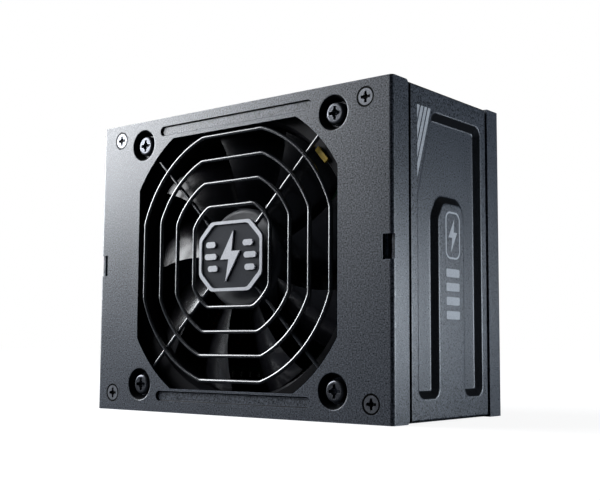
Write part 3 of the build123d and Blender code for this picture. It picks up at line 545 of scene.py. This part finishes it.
tree.links.new(number(tree, "ADD", polished, satin), shader.inputs["Roughness"])
hub_tone = (0.045, 0.047, 0.053, 1)
blade_tone = shader.inputs["Base Color"].links[0].from_socket
tree.links.new(mixed(tree, on_blade, hub_tone, blade_tone), shader.inputs["Base Color"])
coat("fan_frame", fan_plastic)
coat("fan_rotor", rotor_plastic)
ground_steel = finish("ground_steel", (0.42, 0.42, 0.43), (0.58, 0.58, 0.59), 0.3, 0.3, 0.004,
                      metallic=1.0)
for name in ("rotor_yoke", "fan_shaft", "stator_core"):
    coat(name, ground_steel)
coat("rotor_magnet", ferrite)
coat("bearing_sleeve", copper)
coat("fan_lead", nylon)
yellow_tape = finish("yellow_tape", (0.30, 0.20, 0.010), (0.40, 0.27, 0.016), 0.45, 1.4, 0.02,
                     patch_mm=5, Specular_IOR_Level=0.15)
coat("corner_tape", yellow_tape)

# ---------------------------------------------------------------- fan guard
# Steel wire rings welded on two crossed wires, dipped in satin black paint.
satin_wire = finish("satin_wire", (0.006, 0.007, 0.009), (0.016, 0.018, 0.022), 0.24, 0.8, 0.004,
                    spread=0.04, Specular_IOR_Level=1.0)
coat("fan_guard", satin_wire)

# ---------------------------------------------------------------- welds of the guard
# Resistance welds, small flattened beads of metal where each ring crosses the two wires behind it.
low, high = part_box("fan_guard")
guard_x = (low[0] + high[0]) / 2 / MM
guard_z = (low[2] + high[2]) / 2 / MM
ring_front = low[1] / MM
wire_d = 1.3
ring_crossings = (19.1, 27.0, 34.6, 42.0)
beads = bmesh.new()
for crossing in ring_crossings:
    for quarter in range(4):
        angle = math.radians(45 + 90 * quarter)
        middle = Vector((guard_x + crossing * math.cos(angle), ring_front + wire_d - 0.15,
                         guard_z + crossing * math.sin(angle)))
        ball = bmesh.ops.create_icosphere(beads, subdivisions=2, radius=1.0)["verts"]
        squash = Matrix.Diagonal((1.05, 0.55, 0.80, 1))
        turn = Matrix.Rotation(-angle - math.pi / 2, 4, "Y")
        bmesh.ops.transform(beads, matrix=Matrix.Translation(middle) @ turn @ squash, verts=ball)
for vert in beads.verts:
    ripple = math.sin(5 * vert.co.x) * math.cos(6 * vert.co.z)
    vert.co *= 1 + 0.001 * ripple
    vert.co *= MM
for face in beads.faces:
    face.smooth = True
mesh = bpy.data.meshes.new("guard_welds")
beads.to_mesh(mesh)
beads.free()
welds = bpy.data.objects.new("guard_welds", mesh)
scene.collection.objects.link(welds)
mesh.materials.append(satin_wire)
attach(welds, "case")

# ---------------------------------------------------------------- badge
# Dark moulded plate clipped on the crossing of the guard, with bright raised marks.
badge_dark = finish("badge_dark", (0.006, 0.007, 0.010), (0.018, 0.021, 0.029), 0.55, 0.4, 0.03,
                    Specular_IOR_Level=0.1)
coat("guard_badge", badge_dark)
badge_bright = finish("badge_bright", (0.42, 0.43, 0.46), (0.58, 0.59, 0.62), 0.50, 0.4, 0.01)
coat("badge_trim", badge_bright)

# ---------------------------------------------------------------- fan cover
# Front plate of 1 mm steel with its sides bent back, coated like the tray.
cover_coat = finish("cover_powder_coat", **coat_look)
front_half_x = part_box("fan_cover")[1][0] - 2.0 * MM
# Painted shade: the walls of the pressed lines on the front plate are painted near black.
paint_shade_on_walls(cover_coat, "Y", within=front_half_x)
coat("fan_cover", cover_coat)

# ---------------------------------------------------------------- screws
# Black zinc plated cross-head screws: four pan heads in the dimples, and four countersunk ones that
# lie flush, with painted shade, near black, in the cross and in the ring where the head meets the
# sheet.
# The pan heads' rims are paler: partly rubbed bare, partly a painted highlight.
black_zinc = finish("black_zinc", (0.055, 0.058, 0.066), (0.120, 0.124, 0.136), 0.32, 0.3, 0.01,
                    metallic=0.9, wear=2.0)
coat("fan_screws", black_zinc)
flush_zinc = finish("flush_black_zinc", (0.14, 0.145, 0.16), (0.24, 0.25, 0.27), 0.34, 0.3, 0.01,
                    metallic=0.9)
tree = flush_zinc.node_tree
shader = tree.nodes["Principled BSDF"]
point = position(tree)
low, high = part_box("cover_screws")
head_r = 3.0 * MM
upper_screw = (53.0 * MM, high[2] - head_r)
lower_screw = (high[0] - head_r, low[2] + head_r)
across = number(tree, "ABSOLUTE", point["X"], 0.0)
nearest = 1.0
for screw_x, screw_z in (upper_screw, lower_screw):
    off_x = number(tree, "SUBTRACT", across, screw_x)
    off_z = number(tree, "SUBTRACT", point["Z"], screw_z)
    off = number(tree, "MULTIPLY_ADD", off_x, off_x, number(tree, "MULTIPLY", off_z, off_z))
    nearest = number(tree, "MINIMUM", off, nearest)
# Painted shade: the ring where each flush head meets the sheet, and the cross in it, are painted
# near black.
rim_width = 0.5 * MM
rim = number(tree, "GREATER_THAN", nearest, (head_r - rim_width) ** 2)
in_cross = number(tree, "GREATER_THAN", point["Y"], low[1] + 0.2 * MM)
painted_shade = number(tree, "MAXIMUM", rim, in_cross)
plating = shader.inputs["Base Color"].links[0].from_socket
tree.links.new(mixed(tree, painted_shade, plating, (0.001, 0.001, 0.001, 1)), shader.inputs["Base Color"])
coat("cover_screws", flush_zinc)
